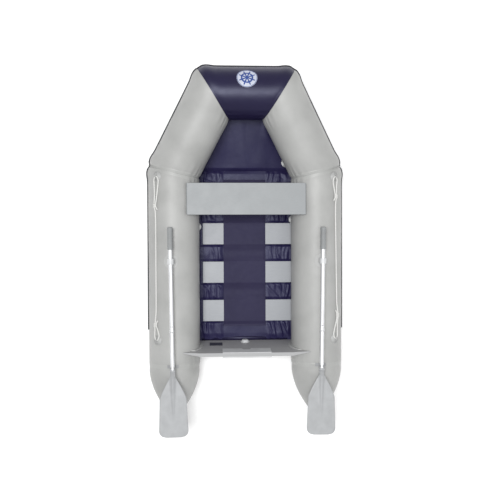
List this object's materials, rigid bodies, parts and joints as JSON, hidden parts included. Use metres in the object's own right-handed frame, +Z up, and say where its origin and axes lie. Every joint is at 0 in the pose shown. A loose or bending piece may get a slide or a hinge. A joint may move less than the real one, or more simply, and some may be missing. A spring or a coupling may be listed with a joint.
{
  "type": "inflatable dinghy",
  "caption": "Inflatable tender with a raised angular bow, hard transom, slatted fabric floor, plank seat, rope lifelines and stowed rowing oars.",
  "frame": {"origin": "on the ground under the middle of the whole outline, blade tips to bow", "axes": "+Y towards the bow, +X to starboard, +Z up"},
  "size_m": [1.356, 2.4777, 0.481],
  "materials": {
    "tube_skin": "matt coated fabric",
    "nose_skin": "glossy coated fabric",
    "floor_skin": "glossy wrinkled coated fabric",
    "slat": "painted plywood",
    "seat": "painted plywood",
    "transom": "painted plywood",
    "motor_pad": "moulded, satin",
    "strake": "ribbed rubber",
    "fitting": "moulded rubber",
    "rope": "braided rope",
    "valve": "satin plastic",
    "shaft": "anodised",
    "blade": "moulded, satin",
    "grip": "soft rubber",
    "dark_plastic": "satin plastic",
    "steel": "polished",
    "emblem": "printed patch",
    "plate": "blank plate"
  },
  "bodies": {
    "hull": {"port_side_tube": "tube_skin", "starboard_side_tube": "tube_skin", "port_bow_tube": "tube_skin", "starboard_bow_tube": "tube_skin", "air_baffles": "tube_skin", "port_tail_cone": "tube_skin", "starboard_tail_cone": "tube_skin", "nose_tube": "nose_skin", "floor_fabric": "floor_skin", "bow_floor_fabric": "floor_skin", "slat_sleeve": "floor_skin", "floor_seam_strip": "floor_skin", "tail_end_caps": "fitting", "transom_holders": "fitting", "seat_holders": "fitting", "lifeline_patches": "fitting", "tow_patch": "fitting", "port_rowlock_base": "fitting", "starboard_rowlock_base": "fitting", "rub_strake": "strake", "floor_slat_1": "slat", "floor_slat_2": "slat", "floor_slat_3": "slat", "floor_slat_4": "slat", "transom_board": "transom", "inner_motor_pad": "motor_pad", "outer_motor_pad": "motor_pad", "bow_emblem": "emblem", "blank_plate": "plate", "drain_body": "valve", "valve_bodies": "valve", "port_lifeline": "rope", "starboard_lifeline": "rope", "lifeline_knots": "rope", "rowlock_hinge_pins": "steel", "port_oar_clip": "dark_plastic", "starboard_oar_clip": "dark_plastic"},
    "seat": {"seat_board": "seat"},
    "drain_cap": {"drain_cap": "valve"},
    "tow_ring": {"tow_ring": "steel"},
    "port_valve_cap": {"port_valve_cap": "valve"},
    "port_valve_poppet": {"port_valve_poppet": "dark_plastic"},
    "starboard_valve_cap": {"starboard_valve_cap": "valve"},
    "starboard_valve_poppet": {"starboard_valve_poppet": "dark_plastic"},
    "bow_valve_cap": {"bow_valve_cap": "valve"},
    "bow_valve_poppet": {"bow_valve_poppet": "dark_plastic"},
    "port_rowlock": {"port_rowlock_swivel": "dark_plastic"},
    "port_oar": {"port_oar_collar": "valve", "port_oar_upper_shaft": "shaft", "port_oar_grip": "grip"},
    "port_oar_lower": {"port_oar_lower_shaft": "shaft", "port_oar_blade": "blade"},
    "port_oar_button": {"port_oar_button": "dark_plastic"},
    "starboard_rowlock": {"starboard_rowlock_swivel": "dark_plastic"},
    "starboard_oar": {"starboard_oar_collar": "valve", "starboard_oar_upper_shaft": "shaft", "starboard_oar_grip": "grip"},
    "starboard_oar_lower": {"starboard_oar_lower_shaft": "shaft", "starboard_oar_blade": "blade"},
    "starboard_oar_button": {"starboard_oar_button": "dark_plastic"}
  },
  "joints": [
    {"name": "port_rowlock_rock", "type": "hinge", "parent": "hull", "child": "port_rowlock", "pos_m": [-0.507, -0.074, 0.366], "axis": [0, -1, 0], "range_deg": [-15, 20], "stiffness_Nm_per_rad": 3},
    {"name": "port_oar_swing", "type": "hinge", "parent": "port_rowlock", "child": "port_oar", "pos_m": [-0.507, -0.074, 0.402], "axis": [0, 0, -1], "range_deg": [0, 100], "deforming": ["port_oar_clip"]},
    {"name": "port_oar_split", "type": "slide", "parent": "port_oar", "child": "port_oar_lower", "axis": [0.014, -0.9999, 0], "range_m": [0, 0.12], "deforming": ["port_oar_button"]},
    {"name": "port_button_press", "type": "slide", "parent": "port_oar_lower", "child": "port_oar_button", "axis": [0, 0, -1], "range_m": [0, 0.0045], "stiffness_N_per_m": 300},
    {"name": "starboard_rowlock_rock", "type": "hinge", "parent": "hull", "child": "starboard_rowlock", "pos_m": [0.507, -0.074, 0.366], "axis": [0, 1, 0], "range_deg": [-15, 20], "stiffness_Nm_per_rad": 3},
    {"name": "starboard_oar_swing", "type": "hinge", "parent": "starboard_rowlock", "child": "starboard_oar", "pos_m": [0.507, -0.074, 0.402], "axis": [0, 0, 1], "range_deg": [0, 100], "deforming": ["starboard_oar_clip"]},
    {"name": "starboard_oar_split", "type": "slide", "parent": "starboard_oar", "child": "starboard_oar_lower", "axis": [-0.014, -0.9999, 0], "range_m": [0, 0.12], "deforming": ["starboard_oar_button"]},
    {"name": "starboard_button_press", "type": "slide", "parent": "starboard_oar_lower", "child": "starboard_oar_button", "axis": [0, 0, -1], "range_m": [0, 0.0045], "stiffness_N_per_m": 300},
    {"name": "seat_lift", "type": "slide", "parent": "hull", "child": "seat", "axis": [0, 0, 1], "range_m": [0, 0.15]},
    {"name": "drain_cap_pull", "type": "slide", "parent": "hull", "child": "drain_cap", "axis": [0, 0.9945, 0.1045], "range_m": [0, 0.03]},
    {"name": "tow_ring_swing", "type": "hinge", "parent": "hull", "child": "tow_ring", "pos_m": [0, 1.21948, 0.22056], "axis": [1, 0, 0], "range_deg": [-15, 145]},
    {"name": "port_valve_cap_pull", "type": "slide", "parent": "hull", "child": "port_valve_cap", "axis": [0.9659, 0, -0.2588], "range_m": [0, 0.025]},
    {"name": "port_valve_poppet_press", "type": "slide", "parent": "hull", "child": "port_valve_poppet", "axis": [-0.9659, 0, 0.2588], "range_m": [0, 0.005], "stiffness_N_per_m": 200},
    {"name": "starboard_valve_cap_pull", "type": "slide", "parent": "hull", "child": "starboard_valve_cap", "axis": [-0.9659, 0, -0.2588], "range_m": [0, 0.025]},
    {"name": "starboard_valve_poppet_press", "type": "slide", "parent": "hull", "child": "starboard_valve_poppet", "axis": [0.9659, 0, 0.2588], "range_m": [0, 0.005], "stiffness_N_per_m": 200},
    {"name": "bow_valve_cap_pull", "type": "slide", "parent": "hull", "child": "bow_valve_cap", "axis": [-0.8692, -0.3898, -0.3043], "range_m": [0, 0.025]},
    {"name": "bow_valve_poppet_press", "type": "slide", "parent": "hull", "child": "bow_valve_poppet", "axis": [0.8692, 0.3898, 0.3043], "range_m": [0, 0.005], "stiffness_N_per_m": 200}
  ]
}
